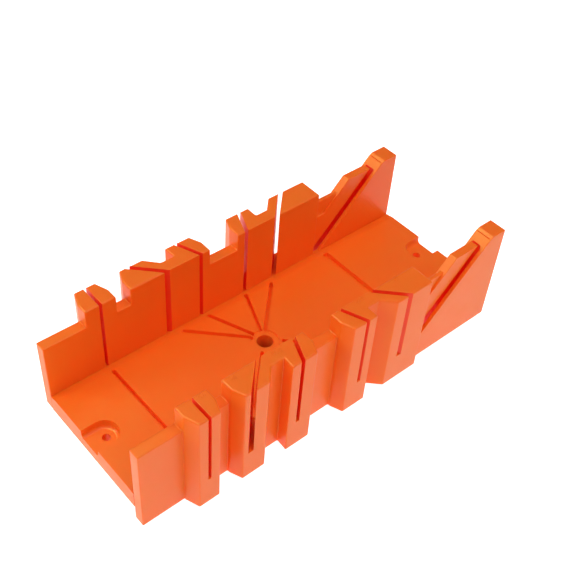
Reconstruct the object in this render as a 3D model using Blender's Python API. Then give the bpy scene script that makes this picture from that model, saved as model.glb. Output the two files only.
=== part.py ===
"""Moulded plastic mitre box: a channel with guide walls, saw kerfs and a bench hook lip.

The real object is one injection moulding. It is modelled here as the regions that a
tool maker would name, each a closed solid, with a hairline gap where two regions meet.
Units are metres. X runs along the box, Y across it and +Z up. The origin is under the
middle of the box, level with the bottom of the bench hook lip.
"""

import bpy
import bmesh
from math import cos, radians, sin, tan
from mathutils import Matrix

MM = 0.001
GAP = 0.3 * MM                       # hairline between two regions that touch

# Driving dimensions
LENGTH = 360 * MM                    # nominal 14 inch box
CHANNEL = 110 * MM                   # clear width between the walls, for 4 inch stock
LIP_DROP = 13.6 * MM                 # how far the front lip hangs below the underside
DECK_HEIGHT = 16.4 * MM              # underside to deck top
WALL_RISE = 51.3 * MM                # deck top to the top of the low wall
GUIDE_RISE = 67.6 * MM               # deck top to the top of the guide blocks
LOW_DEPTH = 9.5 * MM                 # wall thickness between the guides
HORN_DEPTH = 16.8 * MM               # thickness of the bevel horn
GUTTER_DEPTH = 2.0 * MM              # depth of the gutters in the deck
GUTTER_WIDTH = 6 * MM                # the gutter along the foot of each wall
POCKET_DEPTH = 1.0 * MM              # depth of the shallow ring around the pivot hole
GROOVE_DEPTH = 3.0 * MM              # how far a saw runs into the deck
GROOVE_WIDTH = 3.2 * MM              # the grooves there, at any angle

# Guide blocks, as depths outside the wall's inner face in millimetres
TAPER_AT = 11                        # where the end guide's sides start to taper
NOTCH_AT = 11.5                      # floor of the V notches and of the slanted sides
BLOCK_OUT = 22.3                     # outer face of the blocks

# Places along the box, from its left end
SQUARE_KERF_AT = 50 * MM
PIVOT_AT = 164.6 * MM                # where the four slanted kerfs cross, on the middle line
HORN_AT = 266.5 * MM
RIBS_AT = (72, 116, 212, 256, 300)   # millimetres

# Base
DECK_SKIN = 9 * MM                   # thickness of the deck plate above its ribs
PIVOT_HOLE_R = 6.85 * MM
PIVOT_POCKET_R = 12 * MM
BOSS_WALL = 3.5 * MM
END_RAIL_LENGTH = 28 * MM
RIB_THICKNESS = 3 * MM
RECESS_HALF_WIDTH = 11.7 * MM        # the U shaped pocket at each end of the deck
RECESS_REACH = 24 * MM
RECESS_DEPTH = 6.8 * MM
RECESS_STEPS = 12
SCREW_LINE = 1.5 * MM                # the pockets sit this far behind the middle line
SCREW_HOLE_R = 3.3 * MM
SCREW_INSET = 14 * MM

# Bevel horns. The kerf leans 45 degrees to the right; a face is named by the distance
# along the box at which it meets, or would meet, the level of the deck top.
BEVEL_LEFT = 270 * MM                # the kerf's left face, on the tongue
BEVEL_RIGHT = 276 * MM               # the kerf's right face, on the post
TONGUE_FOOT = 244 * MM               # the tongue's outer slope
TONGUE_RISE = 62 * MM
TONGUE_DEPTHS = (5 * MM, 12.6 * MM)  # inner and outer faces, outside the wall's inner face
WEB_DEPTHS = (7 * MM, 10.5 * MM)
WEB_FLOOR_RISE = 36 * MM
POST_DEPTHS = (0.6 * MM, HORN_DEPTH)
POST_TOP_AT = 345.5 * MM             # left edge of the post's flat top
LEDGE_RISE = 66.2 * MM               # the small ledge just below it
LEDGE_WIDTH = 0.7 * MM
POST_LEAN = 0.4 * MM                 # draft of the post's end face
SHAFT_DEPTHS = (3.8 * MM, 13.6 * MM) # the open shaft under the overhanging tongue
SHAFT_START = 268 * MM
SHAFT_END = 336 * MM
BEVEL_GROOVE_AT = 274.2 * MM         # its groove in the deck, as wide as the kerf is along the box
BEVEL_GROOVE_WIDTH = 6 * MM

CLEAR = 5 * MM                       # how far a cutter runs past the surface that it cuts
GROOVE_LENGTH = 220 * MM             # long enough to cross the deck at 45 degrees

DECK_TOP = LIP_DROP + DECK_HEIGHT
UNDERSIDE = LIP_DROP
RIB_TOP = DECK_TOP - DECK_SKIN - GAP
SILL_TOP = DECK_TOP - GUTTER_DEPTH
LOW_TOP = DECK_TOP + WALL_RISE
GUIDE_TOP = DECK_TOP + GUIDE_RISE
DECK_HALF = CHANNEL / 2 - GAP

FRONT = -1
REAR = 1
SIDES = {"front": FRONT, "rear": REAR}
ENDS = {"left": -1, "right": 1}


def along(distance):
    """X of a point that lies this far from the left end."""
    return distance - LENGTH / 2


def across(side, outward):
    """Y of a point this far outside the inner face of the front or rear wall."""
    return side * (CHANNEL / 2 + outward)


# ---------------------------------------------------------------- scene and materials

def clear_scene():
    for thing in list(bpy.data.objects):
        bpy.data.objects.remove(thing, do_unlink=True)


def new_collection(name):
    collection = bpy.data.collections.new(name)
    bpy.context.scene.collection.children.link(collection)
    return collection


clear_scene()
PARTS = new_collection("mitre_box")
CUTTERS = new_collection("mitre_box_cutters")


def orange_plastic(name, shade=1.0):
    """Glossy orange ABS; shade darkens the regions that sit lower down."""
    material = bpy.data.materials.new(name)
    material.use_nodes = True
    shader = material.node_tree.nodes["Principled BSDF"]
    shader.inputs["Base Color"].default_value = (0.83 * shade, 0.115 * shade, 0.012 * shade, 1)
    shader.inputs["Roughness"].default_value = 0.38
    shader.inputs["Metallic"].default_value = 0.0
    return material


# ---------------------------------------------------------------- solids

def add_mesh(name, mesh, collection):
    thing = bpy.data.objects.new(name, mesh)
    collection.objects.link(thing)
    return thing


def box(name, low, high, collection):
    mesh = bpy.data.meshes.new(name)
    form = bmesh.new()
    bmesh.ops.create_cube(form, size=1.0)
    size = [high[i] - low[i] for i in range(3)]
    middle = [(high[i] + low[i]) / 2 for i in range(3)]
    bmesh.ops.scale(form, vec=size, verts=form.verts)
    bmesh.ops.translate(form, vec=middle, verts=form.verts)
    form.to_mesh(mesh)
    form.free()
    return add_mesh(name, mesh, collection)


def cylinder(name, radius, low, high, centre, collection, sides=32):
    mesh = bpy.data.meshes.new(name)
    form = bmesh.new()
    bmesh.ops.create_cone(form, cap_ends=True, segments=sides,
                          radius1=radius, radius2=radius, depth=high - low)
    bmesh.ops.translate(form, vec=(centre[0], centre[1], (low + high) / 2), verts=form.verts)
    form.to_mesh(mesh)
    form.free()
    return add_mesh(name, mesh, collection)


def outline_solid(name, points, low, high, collection, upright=False):
    """Extrude a flat outline from low to high: along Z, or along Y when it stands upright."""
    curve = bpy.data.curves.new(name, "CURVE")
    curve.dimensions = "2D"
    curve.fill_mode = "BOTH"
    curve.extrude = (high - low) / 2
    spline = curve.splines.new("POLY")
    spline.points.add(len(points) - 1)
    for point, (u, v) in zip(spline.points, points):
        point.co = (u, v, 0, 1)
    spline.use_cyclic_u = True
    flat = bpy.data.objects.new(name + "_outline", curve)
    collection.objects.link(flat)
    bpy.context.view_layer.update()
    evaluated = flat.evaluated_get(bpy.context.evaluated_depsgraph_get())
    mesh = bpy.data.meshes.new_from_object(evaluated)
    mesh.name = name
    if upright:
        # The outline's v becomes Z, and the extrusion runs along Y.
        place = Matrix.Translation((0, (low + high) / 2, 0)) @ Matrix.Rotation(radians(90), 4, "X")
    else:
        place = Matrix.Translation((0, 0, (low + high) / 2))
    form = bmesh.new()
    form.from_mesh(mesh)
    bmesh.ops.remove_doubles(form, verts=form.verts, dist=0.00001)
    bmesh.ops.transform(form, matrix=place, verts=form.verts)
    bmesh.ops.recalc_face_normals(form, faces=form.faces)
    form.to_mesh(mesh)
    form.free()
    mesh.materials.clear()
    bpy.data.objects.remove(flat, do_unlink=True)
    return add_mesh(name, mesh, collection)


def combine(thing, other, operation):
    modifier = thing.modifiers.new(operation.lower(), "BOOLEAN")
    modifier.operation = operation
    modifier.solver = "EXACT"
    modifier.object = other
    other.hide_render = True
    other.display_type = "WIRE"


def finish(thing, shade=1.0):
    thing.data.materials.append(orange_plastic(thing.name + "_plastic", shade))
    return thing


# ---------------------------------------------------------------- kerf geometry

# A kerf seen from above is a straight band: where its middle meets the inner face of a
# wall, its angle from straight across, and its width. The slanted kerfs are wider.
KERFS = {
    "square": (SQUARE_KERF_AT, 0.0, 2.6 * MM),
    "left_45": (PIVOT_AT - CHANNEL / 2, -45.0, 3.5 * MM),
    "left_22": (PIVOT_AT - CHANNEL / 2 * tan(radians(22.5)), -22.5, 3.1 * MM),
    "right_22": (PIVOT_AT + CHANNEL / 2 * tan(radians(22.5)), 22.5, 3.1 * MM),
    "right_45": (PIVOT_AT + CHANNEL / 2, 45.0, 3.5 * MM),
}


def kerf_face(name, edge):
    """A kerf's left (edge -1) or right (edge +1) face, as (start, distance per outward)."""
    start, angle, width = KERFS[name]
    return start + edge * width / 2 / cos(radians(angle)), tan(radians(angle))


def keep_beyond(points, face, keep):
    """Cut a plan outline at a kerf face and keep its left (keep -1) or right (keep +1) part."""
    start, slope = face

    def margin(point):
        return keep * (point[0] - start - slope * point[1])

    kept = []
    for here, after in zip(points, points[1:] + points[:1]):
        here_margin = margin(here)
        after_margin = margin(after)
        if here_margin > 0:
            kept.append(here)
        if here_margin * after_margin < 0:
            part = here_margin / (here_margin - after_margin)
            kept.append(tuple(h + part * (a - h) for h, a in zip(here, after)))
    return kept


# ---------------------------------------------------------------- walls

# Each guide seen from above, as (distance along the box, distance outward) in millimetres,
# and the kerfs that divide it from left to right.
GUIDES = [
    ("square_guide", ["square"],
     [(36.5, 0), (36.5, TAPER_AT), (41, BLOCK_OUT), (59, BLOCK_OUT), (63.5, TAPER_AT), (63.5, 0)]),
    ("left_mitre_guide", ["left_45", "left_22"],
     [(76, 0), (76, NOTCH_AT), (80.5, BLOCK_OUT), (101.3, BLOCK_OUT), (111.5, NOTCH_AT),
      (123.5, NOTCH_AT), (122.7, BLOCK_OUT), (146, BLOCK_OUT), (150.7, NOTCH_AT), (150.7, 0)]),
    ("right_mitre_guide", ["right_22", "right_45"],
     [(178.6, 0), (178.6, NOTCH_AT), (182.9, BLOCK_OUT), (206.4, BLOCK_OUT), (206.4, NOTCH_AT),
      (217.8, NOTCH_AT), (228.4, BLOCK_OUT), (266.5, BLOCK_OUT), (266.5, 0)]),
]

# The low stretches of wall between the guides, in millimetres along the box.
LOW_WALLS = [("end_wall", 0, 36.5), ("outer_low_wall", 63.5, 76), ("middle_low_wall", 150.7, 178.6)]


def in_metres(points):
    return [(x * MM, out * MM) for x, out in points]


def plan(points, side):
    """Place an outline of (distance along, distance outward) on the front or rear wall."""
    return [(along(x), across(side, out)) for x, out in points]


def guide_regions(side_name, side, name, kerfs, points):
    """A guide block, divided by its saw kerfs into closed pieces."""
    rest = in_metres(points)
    pieces = []
    for kerf in kerfs:
        pieces.append(keep_beyond(rest, kerf_face(kerf, -1), -1))
        rest = keep_beyond(rest, kerf_face(kerf, +1), +1)
    pieces.append(rest)
    for number, piece in enumerate(pieces, start=1):
        finish(outline_solid(f"{side_name}_{name}_{number}", plan(piece, side),
                             SILL_TOP + GAP, GUIDE_TOP, PARTS))


def low_wall(side_name, side, name, start, end):
    left = start * MM + (GAP if start > 0 else 0)
    right = end * MM - GAP
    points = [(left, 0), (left, LOW_DEPTH), (right, LOW_DEPTH), (right, 0)]
    return finish(outline_solid(f"{side_name}_{name}", plan(points, side),
                                SILL_TOP + GAP, LOW_TOP, PARTS))


# ---------------------------------------------------------------- bevel horn

def upright_plan(points):
    return [(along(x), DECK_TOP + z) for x, z in points]


def span(side, inner, outer):
    """Low and high Y between two depths of wall."""
    return sorted((across(side, inner), across(side, outer)))


def bevel_tongue(side_name, side):
    """The slanted plate on the left of the bevel kerf."""
    foot = GAP - GUTTER_DEPTH
    start = HORN_AT + GAP
    points = upright_plan([
        (start, foot), (BEVEL_LEFT + foot, foot), (BEVEL_LEFT + TONGUE_RISE, TONGUE_RISE),
        (TONGUE_FOOT + TONGUE_RISE, TONGUE_RISE), (TONGUE_FOOT + WEB_FLOOR_RISE, WEB_FLOOR_RISE),
        (start, WEB_FLOOR_RISE)])
    low, high = span(side, *TONGUE_DEPTHS)
    return finish(outline_solid(f"{side_name}_bevel_tongue", points, low, high, PARTS, upright=True))


def bevel_web(side_name, side):
    """The thin wall that fills the notch between the last guide and the tongue."""
    start = HORN_AT + GAP
    floor = WEB_FLOOR_RISE + GAP
    slope = TONGUE_FOOT - 2 * GAP
    points = upright_plan([
        (start, floor), (slope + floor, floor), (slope + WALL_RISE, WALL_RISE), (start, WALL_RISE)])
    low, high = span(side, *WEB_DEPTHS)
    return finish(outline_solid(f"{side_name}_bevel_web", points, low, high, PARTS, upright=True))


def bevel_post(side_name, side):
    """The solid end of the tall wedge on the right of the kerf, with a ledge below its top."""
    foot = GAP - GUTTER_DEPTH
    start = SHAFT_END + GAP
    points = upright_plan([
        (start, foot), (LENGTH, foot), (LENGTH - POST_LEAN, GUIDE_RISE),
        (POST_TOP_AT, GUIDE_RISE), (BEVEL_RIGHT + LEDGE_RISE + LEDGE_WIDTH, LEDGE_RISE),
        (BEVEL_RIGHT + LEDGE_RISE, LEDGE_RISE), (start, start - BEVEL_RIGHT)])
    low, high = span(side, *POST_DEPTHS)
    return finish(outline_solid(f"{side_name}_bevel_post", points, low, high, PARTS, upright=True))


def bevel_cheek(side_name, side, name, depths):
    """One of the two thin wedges that carry the saw beside the shaft."""
    foot = GAP - GUTTER_DEPTH
    points = upright_plan([
        (BEVEL_RIGHT + foot, foot), (SHAFT_END, foot), (SHAFT_END, SHAFT_END - BEVEL_RIGHT)])
    low, high = span(side, *depths)
    return finish(outline_solid(f"{side_name}_bevel_{name}_cheek", points, low, high, PARTS,
                                upright=True))


# ---------------------------------------------------------------- base

def sill(side_name, side, bottom):
    """The unbroken strip under a wall that joins its regions below the kerfs."""
    points = [(0, 0), (0, LOW_DEPTH)]
    for _, _, guide in GUIDES:
        outer = in_metres(guide[1:-1])
        if guide is GUIDES[-1][2]:
            points += [(guide[0][0] * MM, LOW_DEPTH)] + outer
        else:
            points += [(guide[0][0] * MM, LOW_DEPTH)] + outer + [(guide[-1][0] * MM, LOW_DEPTH)]
    points.append((HORN_AT, 0))
    return finish(outline_solid(f"{side_name}_sill", plan(points, side), bottom, SILL_TOP, PARTS), 0.96)


def horn_base(side_name, side, bottom):
    """The strip under a horn, with the shaft running down through it."""
    points = [(HORN_AT + GAP, 0), (HORN_AT + GAP, HORN_DEPTH), (LENGTH, HORN_DEPTH), (LENGTH, 0)]
    base = outline_solid(f"{side_name}_horn_base", plan(points, side), bottom, SILL_TOP, PARTS)
    inner, outer = SHAFT_DEPTHS
    slot = [(SHAFT_START, inner), (SHAFT_START, outer), (SHAFT_END, outer), (SHAFT_END, inner)]
    combine(base, outline_solid(f"{side_name}_shaft", plan(slot, side), bottom - CLEAR, DECK_TOP,
                                CUTTERS), "DIFFERENCE")
    return finish(base, 0.96)


def deck_groove(name, distance, angle, width):
    """A straight saw groove in the deck top, turned by angle from straight across."""
    length = GROOVE_LENGTH
    cutter = box(name, (-width / 2, -length / 2, -GROOVE_DEPTH), (width / 2, length / 2, CLEAR), CUTTERS)
    cutter.location = (along(distance), 0, DECK_TOP)
    cutter.rotation_euler = (0, 0, radians(angle))
    return cutter


def screw_recess(name, end):
    """A U shaped pocket, open at the end of the deck, around a bench screw hole."""
    half = RECESS_HALF_WIDTH
    turn_at = along(RECESS_REACH - half)
    points = [(along(-CLEAR), -half)]
    for step in range(RECESS_STEPS + 1):
        turn = radians(-90 + 180 * step / RECESS_STEPS)
        points.append((turn_at + half * cos(turn), half * sin(turn)))
    points.append((along(-CLEAR), half))
    points = [(-end * x, y + SCREW_LINE) for x, y in points]
    return outline_solid(name, points, DECK_TOP - RECESS_DEPTH, DECK_TOP + CLEAR, CUTTERS)


def screw_hole(name, end):
    centre = (end * (LENGTH / 2 - SCREW_INSET), SCREW_LINE)
    return cylinder(name, SCREW_HOLE_R, UNDERSIDE - CLEAR, DECK_TOP, centre, CUTTERS)


def deck_plate():
    """The deck that the work lies on, with its saw grooves, pivot hole and screw pockets."""
    deck = box("deck_plate", (-LENGTH / 2, -DECK_HALF, DECK_TOP - DECK_SKIN),
               (LENGTH / 2, DECK_HALF, DECK_TOP), PARTS)
    above = DECK_TOP + CLEAR
    centre = (along(PIVOT_AT), 0)
    cutters = [
        deck_groove("square_groove", SQUARE_KERF_AT, 0, GROOVE_WIDTH),
        deck_groove("bevel_groove", BEVEL_GROOVE_AT, 0, BEVEL_GROOVE_WIDTH),
        deck_groove("left_45_groove", PIVOT_AT, 45, GROOVE_WIDTH),
        deck_groove("left_22_groove", PIVOT_AT, 22.5, GROOVE_WIDTH),
        deck_groove("right_22_groove", PIVOT_AT, -22.5, GROOVE_WIDTH),
        deck_groove("right_45_groove", PIVOT_AT, -45, GROOVE_WIDTH),
        cylinder("pivot_pocket", PIVOT_POCKET_R, DECK_TOP - POCKET_DEPTH, above, centre, CUTTERS),
        cylinder("pivot_hole", PIVOT_HOLE_R, UNDERSIDE, above, centre, CUTTERS)]
    for side_name, side in SIDES.items():
        low, high = span(side, -GUTTER_WIDTH, CLEAR)
        cutters.append(box(f"{side_name}_gutter", (-LENGTH, low, DECK_TOP - GUTTER_DEPTH),
                           (LENGTH, high, above), CUTTERS))
    for end_name, end in ENDS.items():
        cutters.append(screw_recess(f"{end_name}_screw_recess", end))
        cutters.append(screw_hole(f"{end_name}_deck_screw_hole", end))
    for cutter in cutters:
        combine(deck, cutter, "DIFFERENCE")
    return finish(deck, 0.98)


def end_rail(end_name, end):
    """The solid block under each end of the deck, which the bench screw passes through."""
    low, high = sorted((end * (LENGTH / 2 - END_RAIL_LENGTH), end * LENGTH / 2))
    rail = box(f"{end_name}_end_rail", (low, -DECK_HALF, UNDERSIDE),
               (high, DECK_HALF, RIB_TOP), PARTS)
    combine(rail, screw_hole(f"{end_name}_rail_screw_hole", end), "DIFFERENCE")
    return finish(rail, 0.94)


def cross_rib(number, distance):
    start = along(distance) - RIB_THICKNESS / 2
    rib = box(f"cross_rib_{number}", (start, -DECK_HALF, UNDERSIDE),
              (start + RIB_THICKNESS, DECK_HALF, RIB_TOP), PARTS)
    return finish(rib, 0.9)


def pivot_boss():
    """The short tube under the pivot hole."""
    centre = (along(PIVOT_AT), 0)
    boss = cylinder("pivot_boss", PIVOT_HOLE_R + BOSS_WALL, UNDERSIDE, RIB_TOP, centre, PARTS)
    bore = cylinder("pivot_boss_bore", PIVOT_HOLE_R, 0, DECK_TOP, centre, CUTTERS)
    combine(boss, bore, "DIFFERENCE")
    return finish(boss, 0.9)


# ---------------------------------------------------------------- assembly

deck_plate()
pivot_boss()
for rail_name, rail_end in ENDS.items():
    end_rail(rail_name, rail_end)
for rib_number, rib_distance in enumerate(RIBS_AT, start=1):
    cross_rib(rib_number, rib_distance * MM)
for wall_name, wall_side in SIDES.items():
    wall_bottom = 0 if wall_side == FRONT else UNDERSIDE
    sill(wall_name, wall_side, wall_bottom)
    horn_base(wall_name, wall_side, wall_bottom)
    for low_name, low_start, low_end in LOW_WALLS:
        low_wall(wall_name, wall_side, low_name, low_start, low_end)
    for guide_name, guide_kerfs, guide_points in GUIDES:
        guide_regions(wall_name, wall_side, guide_name, guide_kerfs, guide_points)
    bevel_tongue(wall_name, wall_side)
    bevel_web(wall_name, wall_side)
    bevel_post(wall_name, wall_side)
    bevel_cheek(wall_name, wall_side, "inner", (POST_DEPTHS[0], SHAFT_DEPTHS[0]))
    bevel_cheek(wall_name, wall_side, "outer", (SHAFT_DEPTHS[1], POST_DEPTHS[1]))
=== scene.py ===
"""A moulded plastic mitre box: a deck between two slotted walls, with a bevel horn on each."""

from math import cos, radians, sin, tan

import bmesh
import bpy
from mathutils import Matrix, Vector


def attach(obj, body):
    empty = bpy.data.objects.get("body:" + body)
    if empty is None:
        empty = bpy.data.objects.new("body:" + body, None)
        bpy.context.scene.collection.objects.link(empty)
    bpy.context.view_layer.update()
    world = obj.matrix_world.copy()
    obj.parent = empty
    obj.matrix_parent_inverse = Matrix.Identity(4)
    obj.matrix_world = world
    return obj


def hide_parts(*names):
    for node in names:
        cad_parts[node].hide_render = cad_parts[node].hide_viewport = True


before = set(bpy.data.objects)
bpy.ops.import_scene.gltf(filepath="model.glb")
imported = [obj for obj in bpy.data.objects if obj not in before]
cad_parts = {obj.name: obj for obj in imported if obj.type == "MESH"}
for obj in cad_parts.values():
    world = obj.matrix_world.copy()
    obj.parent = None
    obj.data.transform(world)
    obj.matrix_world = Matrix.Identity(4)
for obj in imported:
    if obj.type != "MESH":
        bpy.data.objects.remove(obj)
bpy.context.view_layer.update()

MM = 0.001
BODY = "root"

# ---------------------------------------------------------------- dimensions, millimetres

# Heights are over the foot of the lip, rises over the deck, and depths outward through a wall.
LENGTH = 360
CHANNEL = 110                        # between the two walls
LIP_DROP = 13.6                      # the front lip hangs this far below the rest
DECK_TOP = 30
DECK_SKIN = 9
WALL_RISE = 51.3
GUIDE_RISE = 67.6
NUMERAL_RISE = 0.3                   # the guide tops lie this far below the numerals' tops
LOW_DEPTH = 9.5                      # of the low wall between the guides
BLOCK_OUT = 22.3                     # of a guide
HORN_DEPTH = 16.8
GUTTER_DEPTH = 2.0
SQUARE_KERF_AT = 50                  # distances from the left end
PIVOT_AT = 164.6
HORN_AT = 266.5

SILL_TOP = DECK_TOP - GUTTER_DEPTH
LOW_TOP = DECK_TOP + WALL_RISE
GUIDE_TOP = DECK_TOP + GUIDE_RISE
BEYOND = 20                          # how far a cutter runs past what it cuts
CLEAR = 5                            # the same, over the deck
OVERLAP = 3                          # how far joined solids reach into each other
NEAR = 0.05                          # closer than this counts as touching

FRONT = -1
REAR = 1
SIDES = {"front": FRONT, "rear": REAR}
ENDS = {"left": -1, "right": 1}

OPEN_PLASTIC = 0                     # the material of open faces
SLOT_SHADE_INDEX = 1                     # and of those inside a slot, in painted shade


def along(distance):
    """X of a point that lies this far from the left end."""
    return distance - LENGTH / 2


def across(side, outward):
    """Y of a point this far outside the inner face of the front or rear wall."""
    return side * (CHANNEL / 2 + outward)


# ---------------------------------------------------------------- solids

SAME_POINT = 0.02                    # millimetres
FLAT_ANGLE = 0.6                     # degrees between facets that are one face
SHARP_ANGLE = 14                     # degrees between faces whose edge is rounded
EDGE_SHARE = 0.42                    # of a short edge, that one rounding may take up
LEAST_ROUNDING = 0.02


def new_object(name, data):
    """Put new mesh, curve, light or camera data in the scene."""
    thing = bpy.data.objects.new(name, data)
    bpy.context.scene.collection.objects.link(thing)
    return thing


def new_mesh(name, form):
    """Turn a finished bmesh into an object."""
    mesh = bpy.data.meshes.new(name)
    form.to_mesh(mesh)
    form.free()
    return new_object(name, mesh)


def loft(name, rings):
    """A closed solid through rings of points in millimetres, all with the same count."""
    form = bmesh.new()
    rings = [[form.verts.new([c * MM for c in point]) for point in ring] for ring in rings]
    form.faces.new(rings[0])
    form.faces.new(rings[-1])
    count = len(rings[0])
    for lower, upper in zip(rings, rings[1:]):
        for i in range(count):
            j = (i + 1) % count
            form.faces.new((lower[i], lower[j], upper[j], upper[i]))
    bmesh.ops.recalc_face_normals(form, faces=form.faces)
    return new_mesh(name, form)


def prism(name, outline, low, high):
    """An outline in plan, carried from one height to another."""
    return loft(name, [[(x, y, level) for x, y in outline] for level in (low, high)])


def box(name, low, high):
    """A block between its lowest and highest corners."""
    outline = [(low[0], low[1]), (high[0], low[1]), (high[0], high[1]), (low[0], high[1])]
    return prism(name, outline, low[2], high[2])


def arc(centre, radius, start, end, steps):
    """Points on a circle, from one angle in degrees to another."""
    turns = [radians(start + (end - start) * i / steps) for i in range(steps + 1)]
    return [(centre[0] + radius * cos(t), centre[1] + radius * sin(t)) for t in turns]


def disc(name, radius, centre, low, high, sides=64):
    """An upright cylinder."""
    return prism(name, arc(centre, radius, 0, 360, sides)[:-1], low, high)


def merge(thing, others, operation):
    """Join or cut with closed solids, then throw them away."""
    for other in others:
        modifier = thing.modifiers.new("join", "BOOLEAN")
        modifier.operation = operation
        modifier.solver = "MANIFOLD"
        modifier.object = other
    bpy.context.view_layer.update()
    evaluated = thing.evaluated_get(bpy.context.evaluated_depsgraph_get())
    mesh = bpy.data.meshes.new_from_object(evaluated)
    thing.modifiers.clear()
    old = thing.data
    thing.data = mesh
    bpy.data.meshes.remove(old)
    for other in others:
        data = other.data
        bpy.data.objects.remove(other, do_unlink=True)
        bpy.data.meshes.remove(data)


def tidy(thing):
    """Merge the flat facets that a join leaves, so that each face is whole."""
    form = bmesh.new()
    form.from_mesh(thing.data)
    bmesh.ops.remove_doubles(form, verts=form.verts, dist=SAME_POINT * MM)
    bmesh.ops.dissolve_limit(form, angle_limit=radians(FLAT_ANGLE), verts=form.verts,
                             edges=form.edges)
    form.to_mesh(thing.data)
    form.free()


def soften(thing, choose, clamp):
    """Round the sharp edges. choose(start, end) gives an edge's radius in millimetres."""
    form = bmesh.new()
    form.from_mesh(thing.data)
    layer = form.edges.layers.float.new("bevel_weight_edge")
    wanted = {}
    for edge in form.edges:
        if len(edge.link_faces) == 2 and edge.calc_face_angle(0) > radians(SHARP_ANGLE):
            start, end = (v.co / MM for v in edge.verts)
            wanted[edge] = choose(start, end)
    widest = max(wanted.values())
    for edge, radius in wanted.items():
        room = radius
        for vert in edge.verts:
            for near in vert.link_edges:
                if near is not edge and any(f in near.link_faces for f in edge.link_faces):
                    room = min(room, EDGE_SHARE * near.calc_length() / MM)
        edge[layer] = max(room, LEAST_ROUNDING) / widest
    form.to_mesh(thing.data)
    form.free()
    bevel = thing.modifiers.new("rounding", "BEVEL")
    bevel.width = widest * MM
    bevel.segments = 3
    bevel.limit_method = "WEIGHT"
    bevel.use_clamp_overlap = clamp
    bevel.miter_outer = "MITER_ARC"
    thing.data.shade_smooth()
    thing.modifiers.new("flats", "WEIGHTED_NORMAL").mode = "FACE_AREA"
    return thing


# ---------------------------------------------------------------- kerfs and guides

# Where each kerf's middle meets the inner face of a wall, its angle, and its width.
KERFS = [
    (SQUARE_KERF_AT, 0.0, 2.6),
    (PIVOT_AT - CHANNEL / 2, -45.0, 3.5),
    (PIVOT_AT - CHANNEL / 2 * tan(radians(22.5)), -22.5, 3.1),
    (PIVOT_AT + CHANNEL / 2 * tan(radians(22.5)), 22.5, 3.1),
    (PIVOT_AT + CHANNEL / 2, 45.0, 3.5),
]
KERF_DEPTHS = (-4, 40)               # from inside the channel to outside the guides

# The plan of each guide block: distance along, depth.
GUIDES = {
    "square_guide": [(36.5, 0), (36.5, 10.5), (41, BLOCK_OUT), (59, BLOCK_OUT), (63.5, 10.5),
                     (63.5, 0)],
    "left_mitre_guide": [(76, 0), (76, 11.5), (80.5, BLOCK_OUT), (101.3, BLOCK_OUT),
                         (111.5, 11.5), (123.5, 11.5), (122.7, BLOCK_OUT), (146, BLOCK_OUT),
                         (150.7, 11.5), (150.7, 0)],
    "right_mitre_guide": [(178.6, 0), (178.6, 11.5), (182.9, BLOCK_OUT), (206.4, BLOCK_OUT),
                          (206.4, 11.5), (217.8, 11.5), (228.4, BLOCK_OUT), (HORN_AT, BLOCK_OUT),
                          (HORN_AT, 0)],
}


def plan(points, side):
    """Points of (distance along, depth) as X and Y."""
    return [(along(x), across(side, out)) for x, out in points]


def kerf_cutter(side, start, angle, width):
    """The band that a saw clears through a wall."""
    slope = tan(radians(angle))
    half = width / 2 / cos(radians(angle))
    inner, outer = KERF_DEPTHS
    points = [(start + slope * inner - half, inner), (start + slope * inner + half, inner),
              (start + slope * outer + half, outer), (start + slope * outer - half, outer)]
    return prism("kerf", plan(points, side), SILL_TOP, GUIDE_TOP + BEYOND)


def beside_kerf(point, side):
    """True for a point on either face of a kerf."""
    outward = side * point.y - CHANNEL / 2
    for start, angle, width in KERFS:
        offset = point.x - along(start + tan(radians(angle)) * outward)
        if abs(abs(offset) * cos(radians(angle)) - width / 2) < NEAR:
            return True
    return False


# ---------------------------------------------------------------- bevel horn

BEVEL_LEFT = 270                     # the tongue's and the post's slopes, brought down to the deck
BEVEL_RIGHT = 276
TONGUE_FOOT = 244                    # the tongue's other face, brought down in the same way
TONGUE_RISE = 62
WEB_FLOOR_RISE = 36
SLOPE_RISE = 65.4                    # where the post's slope ends
TONGUE_DEPTHS = (5, 12.6)
WEB_DEPTHS = (7, 10.5)
POST_DEPTHS = (0.6, HORN_DEPTH)
LINE_DEPTHS = (1.6, HORN_DEPTH - 1.4)
SHAFT_DEPTHS = (3.8, 13.6)
SHAFT_START = 268
SHAFT_END = 336
SHAFT_BEND = {FRONT: 3, REAR: 1}     # radius of the shaft's outer corner
SHAFT_INNER_BEND = 1
HORN_FOOT = -GUTTER_DEPTH - OVERLAP


def upright(side, name, points, depths):
    """An outline of (distance along, rise over the deck), carried between two depths of wall."""
    return loft(name, [[(along(x), across(side, d), DECK_TOP + z) for x, z in points]
                       for d in depths])


def post(side):
    """The block at the end of a wall, with a slope that a leaning saw runs along."""
    return upright(side, "post", [
        (BEVEL_RIGHT + HORN_FOOT, HORN_FOOT), (LENGTH, HORN_FOOT), (LENGTH, GUIDE_RISE),
        (345.5, GUIDE_RISE), (342.7, 66.2), (BEVEL_RIGHT + SLOPE_RISE, SLOPE_RISE)], POST_DEPTHS)


def post_groove(side):
    """The fine line between the post's top and its slope."""
    return upright(side, "line", [(341.9, 64.9), (342.3, 64.7), (342.9, 70), (341.6, 70)],
                   LINE_DEPTHS)


def shaft(side):
    """The open shaft that runs down through the base under the tongue."""
    inner, outer = SHAFT_DEPTHS
    bend = SHAFT_BEND[side]
    small = SHAFT_INNER_BEND
    points = [(SHAFT_START, inner), (SHAFT_START, outer)]
    points += arc((SHAFT_END - bend, outer - bend), bend, 90, 0, 6)
    points += arc((SHAFT_END - small, inner + small), small, 0, -90, 3)
    return prism("shaft", plan(points, side), -BEYOND, GUIDE_TOP + BEYOND)


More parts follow.
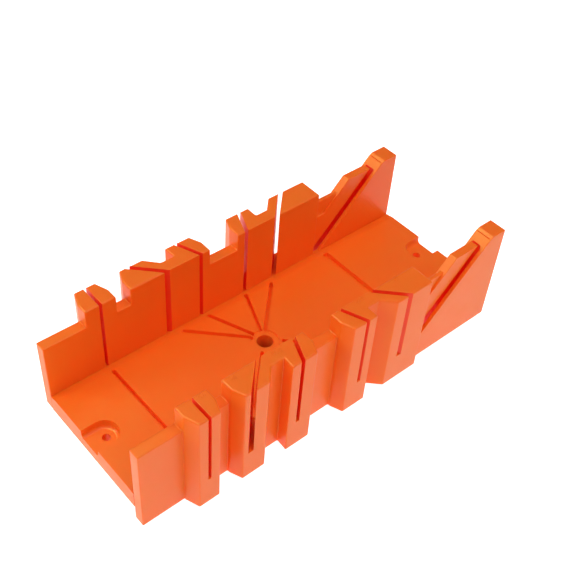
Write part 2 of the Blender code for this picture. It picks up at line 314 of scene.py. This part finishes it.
def tongue(side):
    """The leaning plate on the other side of the saw, and the thinner web behind it."""
    start = HORN_AT - OVERLAP
    web_foot = WEB_FLOOR_RISE - OVERLAP
    plate = upright(side, "tongue", [
        (start, HORN_FOOT), (BEVEL_LEFT + HORN_FOOT, HORN_FOOT),
        (BEVEL_LEFT + TONGUE_RISE, TONGUE_RISE), (TONGUE_FOOT + TONGUE_RISE, TONGUE_RISE),
        (TONGUE_FOOT + WEB_FLOOR_RISE, WEB_FLOOR_RISE), (start, WEB_FLOOR_RISE)],
        TONGUE_DEPTHS)
    web = upright(side, "web", [
        (start, web_foot), (TONGUE_FOOT + WEB_FLOOR_RISE, web_foot),
        (TONGUE_FOOT + WALL_RISE + OVERLAP, WALL_RISE), (start, WALL_RISE)], WEB_DEPTHS)
    return [plate, web]


def in_shaft(point, side):
    """True for a point on the walls of the shaft."""
    outward = side * point.y - CHANNEL / 2
    inner, outer = SHAFT_DEPTHS
    on_face = min(abs(outward - inner), abs(outward - outer)) < NEAR
    rounded = point.x > along(SHAFT_END - SHAFT_BEND[FRONT] - 0.1)
    at_end = rounded and inner - NEAR < outward < outer + NEAR
    return point.x > along(SHAFT_START) - NEAR and (on_face or at_end)


# ---------------------------------------------------------------- walls

LOW_WALL_SINK = 4                    # how far over a wall's foot its low part starts

# Radius of the rounded edges, millimetres.
KERF_ROUNDING = 0.3
SILL_ROUNDING = 0.25
HORN_ROUNDING = 0.5
GUIDE_ROUNDING = 1.4
WALL_ROUNDING = 0.8


def paint_slot_shade(body, side):
    """Paint shade on the faces inside the kerfs and the shaft: they get their own darker, redder
    colour.
    """
    mesh = body.data
    for face in mesh.polygons:
        points = [mesh.vertices[i].co / MM for i in face.vertices]
        steep = abs(face.normal.z) < 0.1
        in_kerf = steep and all(beside_kerf(p, side) for p in points)
        in_slot_shade = in_kerf or all(in_shaft(p, side) for p in points)
        face.material_index = SLOT_SHADE_INDEX if in_slot_shade else OPEN_PLASTIC


def footprint(side):
    """The plan of a whole wall: its low parts, guides and horn."""
    points = [(0, 0), (0, LOW_DEPTH)]
    for name, guide in GUIDES.items():
        points += [(guide[0][0], LOW_DEPTH)] + guide[1:-1]
        if name != "right_mitre_guide":
            points.append((guide[-1][0], LOW_DEPTH))
    points += [(HORN_AT, HORN_DEPTH), (LENGTH, HORN_DEPTH), (LENGTH, 0)]
    return plan(points, side)


def wall(side_name, side):
    """One wall with its sill, low parts, guides, kerfs and horn. The front one has the lip."""
    bottom = 0 if side == FRONT else LIP_DROP
    body = prism(f"{side_name}_wall", footprint(side), bottom, SILL_TOP)
    low = [(0, 0), (0, LOW_DEPTH), (HORN_AT - 1, LOW_DEPTH), (HORN_AT - 1, 0)]
    parts = [prism("low", plan(low, side), bottom + LOW_WALL_SINK, LOW_TOP), post(side)]
    for name, guide in GUIDES.items():
        parts.append(prism(name, plan(guide, side), bottom, GUIDE_TOP - NUMERAL_RISE))
    merge(body, parts, "UNION")
    cutters = [kerf_cutter(side, *kerf) for kerf in KERFS]
    merge(body, cutters + [shaft(side), post_groove(side)], "DIFFERENCE")
    merge(body, tongue(side), "UNION")
    tidy(body)
    paint_slot_shade(body, side)

    def radius(start, end):
        if beside_kerf(start, side) and beside_kerf(end, side):
            return KERF_ROUNDING
        if max(start.z, end.z) < SILL_TOP + 0.5 and min(start.z, end.z) > LIP_DROP + 1:
            return SILL_ROUNDING
        if min(start.x, end.x) > along(HORN_AT) + 0.5:
            return HORN_ROUNDING
        if min(start.z, end.z) > LOW_TOP + 1:
            return GUIDE_ROUNDING
        return WALL_ROUNDING
    return soften(body, radius, clamp=False)


WALLS = [wall(name, side) for name, side in SIDES.items()]

# ---------------------------------------------------------------- deck

GROOVE_DEPTH = 5.5
GROOVE_WIDTH = 3.3
GROOVE_REACH = 48.4                  # how far the square and the bevel groove run to each side
POCKET_RADIUS = 12
POCKET_DEPTH = 1.0
HOLE_RADIUS = 6.85
BOSS_RADIUS = 10.35
GROOVE_START = POCKET_RADIUS + 1     # the mitre grooves begin outside the pocket
# Where each groove crosses the middle of the deck, its angle, and where it starts and ends.
GROOVES = [(50.5, 0, -CLEAR, GROOVE_REACH), (167.4, 45, GROOVE_START, 49.5),
           (166.3, 22.5, GROOVE_START, 51.5), (164.3, -22.5, GROOVE_START, 52),
           (163.5, -45, GROOVE_START, 49)]
BEVEL_GROOVE_AT = 274.6
# Its section: distance from that line, rise.
BEVEL_GROOVE = [(-3.1, 0), (-2.6, -3.8), (2.3, -3.8), (2.8, 0), (2.8, CLEAR), (-3.1, CLEAR)]
SCREW_LINE = 1.5                     # Y of the two screw holes
SCREW_RADIUS = 3.3
SCREW_INSET = 14                     # from the end of the deck
RECESS_DEPTH = 6.8
RECESS_INSET = 12.3                  # from the end of the deck to the middle of the round part
# Half the width of a recess at each height over its floor.
RECESS_SIDES = [(0, 8.6), (0.3, 9.7), (0.9, 10.6), (1.8, 11.2), (3.0, 11.5),
                (RECESS_DEPTH, 11.8), (12, 11.8)]
RAIL_LENGTH = 28                     # of the solid part under each end of the deck
RIBS_AT = (72, 116, 212, 256, 300)
RIB_HALF = 1.5                       # half a rib's thickness
DECK_EDGE_ROUNDING = 1.2             # at the two ends
DECK_ROUNDING = 0.45
UNDER_ROUNDING = 0.4


def groove(distance, angle, start, end):
    """Both halves of a saw groove, turned by angle, each with round ends."""
    half = GROOVE_WIDTH / 2
    reach = end / cos(radians(angle)) - half
    halves = []
    for side in SIDES.values():
        turn = Matrix.Rotation(radians(angle), 2)
        near, far = sorted((side * start, side * reach))
        outline = arc((0, far), half, 0, 180, 8) + arc((0, near), half, 180, 360, 8)
        outline = [turn @ Vector(point) for point in outline]
        halves.append(prism("groove", [(along(distance) + p.x, p.y) for p in outline],
                            DECK_TOP - GROOVE_DEPTH, DECK_TOP + CLEAR))
    return halves


def bevel_groove():
    """The wide groove with sloping sides under a saw that leans in the horns."""
    profile = [(along(BEVEL_GROOVE_AT) + x, DECK_TOP + z) for x, z in BEVEL_GROOVE]
    return loft("bevel_groove", [[(x, y, z) for x, z in profile]
                                 for y in (-GROOVE_REACH, GROOVE_REACH)])


# Depth of the soft channel along a wall, at each distance from it.
GUTTER_VALLEY = [(7.6, 0), (6.6, 0.06), (5.6, 0.2), (4.6, 0.42), (3.6, 0.66), (2.6, 0.86),
                 (1.4, 0.96), (-1, 1.0)]


def gutter(side):
    """The soft channel along the foot of a wall."""
    ring = [(across(side, -inward), DECK_TOP - depth) for inward, depth in GUTTER_VALLEY]
    ring += [(across(side, 1), DECK_TOP + CLEAR),
             (across(side, -GUTTER_VALLEY[0][0]), DECK_TOP + CLEAR)]
    return loft("gutter", [[(x, y, z) for y, z in ring] for x in (-LENGTH, LENGTH)])


def screw_recess(end):
    """A U shaped pocket, open at the end of the deck, with a rounded foot."""
    outside = along(-CLEAR)
    rings = []
    for rise, half in RECESS_SIDES:
        points = arc((along(RECESS_INSET), 0), half, -90, 90, 24)
        points = [(outside, -half)] + points + [(outside, half)]
        level = DECK_TOP - RECESS_DEPTH + rise
        rings.append([(-end * x, y + SCREW_LINE, level) for x, y in points])
    return loft("recess", rings)


def deck():
    """The deck with what stiffens it underneath, its grooves, its holes and its pockets."""
    half = CHANNEL / 2
    skin = DECK_TOP - DECK_SKIN
    body = box("deck", (-LENGTH / 2, -half, skin), (LENGTH / 2, half, DECK_TOP))
    spans = [sorted((end * (LENGTH / 2 - RAIL_LENGTH), end * LENGTH / 2))
             for end in ENDS.values()]
    spans += [(along(at) - RIB_HALF, along(at) + RIB_HALF) for at in RIBS_AT]
    under = [box("rib", (x1, -half, LIP_DROP), (x2, half, skin + 1)) for x1, x2 in spans]
    centre = (along(PIVOT_AT), 0)
    under.append(disc("boss", BOSS_RADIUS, centre, LIP_DROP, skin + 1))
    merge(body, under, "UNION")
    cutters = []
    for line in GROOVES:
        cutters += groove(*line)
    cutters.append(bevel_groove())
    cutters.append(disc("pocket", POCKET_RADIUS, centre, DECK_TOP - POCKET_DEPTH,
                        DECK_TOP + CLEAR))
    cutters.append(disc("hole", HOLE_RADIUS, centre, 0, DECK_TOP + CLEAR))
    cutters += [gutter(side) for side in SIDES.values()]
    for end in ENDS.values():
        cutters.append(screw_recess(end))
        place = (end * (LENGTH / 2 - SCREW_INSET), SCREW_LINE)
        cutters.append(disc("screw", SCREW_RADIUS, place, 0, DECK_TOP))
    merge(body, cutters, "DIFFERENCE")
    tidy(body)

    def radius(start, end):
        if min(start.z, end.z) > DECK_TOP - GUTTER_DEPTH - 0.1:
            at_end = min(abs(start.x), abs(end.x)) > LENGTH / 2 - 0.1
            return DECK_EDGE_ROUNDING if at_end else DECK_ROUNDING
        return UNDER_ROUNDING
    return soften(body, radius, clamp=True)


DECK = deck()

# ---------------------------------------------------------------- numerals

# The angle of each saw slot, moulded on the front guides: text, distance along, depth.
NUMERALS = [("90", 57.0, 3.6), ("45", 83.8, 3.8), ("22.5", 123.5, 4.2), ("22.5", 205.6, 2.0),
            ("45", 245.0, 2.2)]
NUMERAL_SIZE = 5.4
NUMERAL_EDGE = 0.12                  # the slope round each figure
SAME_NUMERAL_POINT = 0.005


def numerals():
    """Small raised figures, read from the front."""
    form = bmesh.new()
    for words, distance, depth in NUMERALS:
        text = bpy.data.curves.new("figures", "FONT")
        text.body = words
        text.size = NUMERAL_SIZE * MM
        text.align_x = "CENTER"
        text.align_y = "CENTER"
        text.extrude = (NUMERAL_RISE - NUMERAL_EDGE) * MM
        text.bevel_depth = NUMERAL_EDGE * MM
        text.resolution_u = 4
        thing = new_object("figures", text)
        bpy.context.view_layer.update()
        mesh = bpy.data.meshes.new_from_object(thing)
        mesh.transform(Matrix.Translation(Vector((
            along(distance), across(FRONT, depth), GUIDE_TOP - NUMERAL_RISE)) * MM))
        form.from_mesh(mesh)
        bpy.data.objects.remove(thing, do_unlink=True)
        bpy.data.meshes.remove(mesh)
    bmesh.ops.remove_doubles(form, verts=form.verts, dist=SAME_NUMERAL_POINT * MM)
    return new_mesh("numerals", form)


FIGURES = numerals()

# ---------------------------------------------------------------- plastic

SHEEN = (0.29, 0.37)                 # least and greatest roughness
FLOW_SCALE = 9                       # how fine the patches of colour and of sheen and the grain are
SHEEN_SCALE = 60
GRAIN_SCALE = 900


def settings(node, values):
    """Set a node's own inputs."""
    for name, value in values.items():
        node.inputs[name].default_value = value


def grey(level):
    """A grey of this brightness, as a colour."""
    return (level, level, level, 1)


def new_material(name, values):
    """A material, its node tree and its surface shader."""
    material = bpy.data.materials.new(name)
    material.use_nodes = True
    shader = material.node_tree.nodes["Principled BSDF"]
    settings(shader, values)
    return material, material.node_tree, shader


def plastic(name, translucency, dark, light):
    """Moulded plastic between two colours: glossy, faintly uneven in sheen and surface."""
    material, tree, shader = new_material(name, {
        "IOR": 1.5, "Specular IOR Level": 0.2, "Subsurface Weight": translucency,
        "Subsurface Radius": (1.0, 0.15, 0.06), "Subsurface Scale": 0.004})
    place = tree.nodes.new("ShaderNodeTexCoord")

    def noise(scale, detail):
        node = tree.nodes.new("ShaderNodeTexNoise")
        settings(node, {"Scale": scale, "Detail": detail})
        tree.links.new(place.outputs["Object"], node.inputs["Vector"])
        return node

    def ramp(source, first, last):
        node = tree.nodes.new("ShaderNodeValToRGB")
        for stop, position, colour in zip(node.color_ramp.elements, (0.3, 0.7), (first, last)):
            stop.position = position
            stop.color = colour
        tree.links.new(source.outputs["Fac"], node.inputs["Fac"])
        return node.outputs["Color"]

    colour = ramp(noise(FLOW_SCALE, 3), (*dark, 1), (*light, 1))
    tree.links.new(colour, shader.inputs["Base Color"])
    sheen = ramp(noise(SHEEN_SCALE, 4), grey(SHEEN[0]), grey(SHEEN[1]))
    tree.links.new(sheen, shader.inputs["Roughness"])
    grain = tree.nodes.new("ShaderNodeBump")
    settings(grain, {"Strength": 0.02, "Distance": 0.0004})
    tree.links.new(noise(GRAIN_SCALE, 3).outputs["Fac"], grain.inputs["Height"])
    tree.links.new(grain.outputs["Normal"], shader.inputs["Normal"])
    return material


ORANGE = [(0.974, 0.157, 0.011), (0.986, 0.17, 0.013)]
# A darker, redder orange for the slot faces: painted shade, standing in for the dim red light
# inside narrow slots.
SLOT_SHADE_ORANGE = [(0.985, 0.066, 0.017), (0.992, 0.074, 0.019)]
OUTSIDE = plastic("orange_plastic", 0.5, *ORANGE)
SLOT_SHADE_MATERIAL = plastic("slot_shade_plastic", 0.5, *SLOT_SHADE_ORANGE)
FIGURE = plastic("figure_plastic", 0.0, *ORANGE)


def finish_piece(piece, *materials):
    """Give a piece its materials, in the order that its faces number them, and its body."""
    indices = [face.material_index for face in piece.data.polygons]
    piece.data.materials.clear()
    for material in materials:
        piece.data.materials.append(material)
    for face, index in zip(piece.data.polygons, indices):
        face.material_index = index
    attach(piece, BODY)


for piece in WALLS:
    finish_piece(piece, OUTSIDE, SLOT_SHADE_MATERIAL)
finish_piece(DECK, OUTSIDE)
finish_piece(FIGURES, FIGURE)

nodes = list(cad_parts)
front_nodes = [n for n in nodes if n.startswith("front_")]
rear_nodes = [n for n in nodes if n.startswith("rear_")]
base_nodes = [n for n in nodes if n not in front_nodes + rear_nodes]
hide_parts(*front_nodes)
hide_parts(*rear_nodes)
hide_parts(*base_nodes)

# ---------------------------------------------------------------- stage, light, camera

LIP_EDGE = Vector((0, -CHANNEL / 2, 0)) * MM
REAR_EDGE = Vector((0, across(REAR, BLOCK_OUT), LIP_DROP)) * MM
UNDER = REAR_EDGE - LIP_EDGE         # from one edge that touches the floor to the other
FLOOR_UP = Vector((1, 0, 0)).cross(UNDER.normalized())
FLOOR_DROP = 0.2 * MM
FLOOR_HALF = 6                       # metres, so that the floor has no visible end
# The shade's two parts: from and to in X, then from and to as a share of the way under the box.
SHADE = [(-0.15, 0.16, 0.03, 0.91), (-0.168, -0.15, 0.33, 0.68)]


def floor():
    """A pale sheet that the box leans on, with its lip and its rear edge touching."""
    form = bmesh.new()
    bmesh.ops.create_grid(form, x_segments=1, y_segments=1, size=FLOOR_HALF)
    thing = new_mesh("floor", form)
    thing.matrix_world = (Matrix.Translation(LIP_EDGE - FLOOR_UP * FLOOR_DROP)
                          @ FLOOR_UP.to_track_quat("Z", "Y").to_matrix().to_4x4())
    thing.data.materials.append(new_material("pale_floor", {
        "Base Color": grey(0.5), "Roughness": 0.8,
        "Emission Color": grey(1), "Emission Strength": 0.95})[0])


def shade():
    """Painted shade underneath: a dark sheet that keeps the lit floor from shining up into the box.
    """
    form = bmesh.new()
    for x1, x2, part1, part2 in SHADE:
        corners = [(x1, part1), (x2, part1), (x2, part2), (x1, part2)]
        places = [LIP_EDGE + Vector((x, 0, 0)) + UNDER * part - FLOOR_UP * FLOOR_DROP / 2
                  for x, part in corners]
        form.faces.new([form.verts.new(place) for place in places])
    thing = new_mesh("shade", form)
    thing.data.materials.append(new_material("painted_shade_underneath", {
        "Base Color": grey(0.3), "Roughness": 0.9})[0])


floor()
shade()

AIM = Vector((0, 0, 0.03))           # the middle of the box
# Square soft boxes: name, place, size, power.
LAMPS = [("top_light", (0.15, -0.25, 1.7), 1.6, 13.6),
         ("left_light", (-1.25, 0.75, 0.8), 0.5, 5.5),
         ("key_light", (-1.3, -0.1, 1.0), 0.3, 2.4),
         ("front_light", (0.55, -1.3, 1.25), 1.0, 4.7)]


def lamp(name, place, size, power):
    """A square soft box that faces the middle of the box."""
    data = bpy.data.lights.new(name, "AREA")
    data.shape = "SQUARE"
    data.size = size
    data.energy = power
    thing = new_object(name, data)
    thing.location = place
    thing.rotation_euler = (AIM - Vector(place)).to_track_quat("-Z", "Y").to_euler()
    return thing


for row in LAMPS:
    lamp(*row)
# A warm card overhead, seen only as a sheen along the rounded edges.
card = lamp("sheen_card", (-0.5, 0.7, 1.5), 1.2, 85)
card.data.color = (1, 0.82, 0.22)
card.visible_diffuse = False

AMBIENT = 0.23                       # how strongly the room lights the box


def surroundings():
    """A white room behind the object, which lights it only faintly."""
    world = bpy.data.worlds.new("studio")
    bpy.context.scene.world = world
    world.use_nodes = True
    tree = world.node_tree
    tree.nodes.clear()
    output = tree.nodes.new("ShaderNodeOutputWorld")
    mix = tree.nodes.new("ShaderNodeMixShader")
    path = tree.nodes.new("ShaderNodeLightPath")
    tree.links.new(path.outputs["Is Camera Ray"], mix.inputs["Fac"])
    for socket, strength in ((1, AMBIENT), (2, 1.0)):
        room = tree.nodes.new("ShaderNodeBackground")
        settings(room, {"Color": grey(1), "Strength": strength})
        tree.links.new(room.outputs["Background"], mix.inputs[socket])
    tree.links.new(mix.outputs["Shader"], output.inputs["Surface"])


surroundings()

LENS = 57.8
SENSOR = 36
CAMERA_PLACE = (-0.3643, -0.3837, 0.5978)
CAMERA_RIGHT = (0.75476, -0.65285, 0.06416)
CAMERA_UP = (0.42441, 0.56055, 0.7111)


def view():
    """A camera over the front left corner, which looks down along the box."""
    data = bpy.data.cameras.new("camera")
    data.sensor_fit = "HORIZONTAL"
    data.sensor_width = SENSOR
    data.lens = LENS
    data.clip_start = 0.01
    data.clip_end = 50
    camera = new_object("camera", data)
    right = Vector(CAMERA_RIGHT)
    back = right.cross(Vector(CAMERA_UP)).normalized()
    axes = Matrix((right, back.cross(right), back)).transposed()
    camera.matrix_world = Matrix.Translation(CAMERA_PLACE) @ axes.to_4x4()
    bpy.context.scene.camera = camera
    bpy.context.scene.view_settings.view_transform = "Standard"


view()

# Light keeps its colour through many bounces in the narrow slots.
bpy.context.scene.cycles.diffuse_bounces = 12
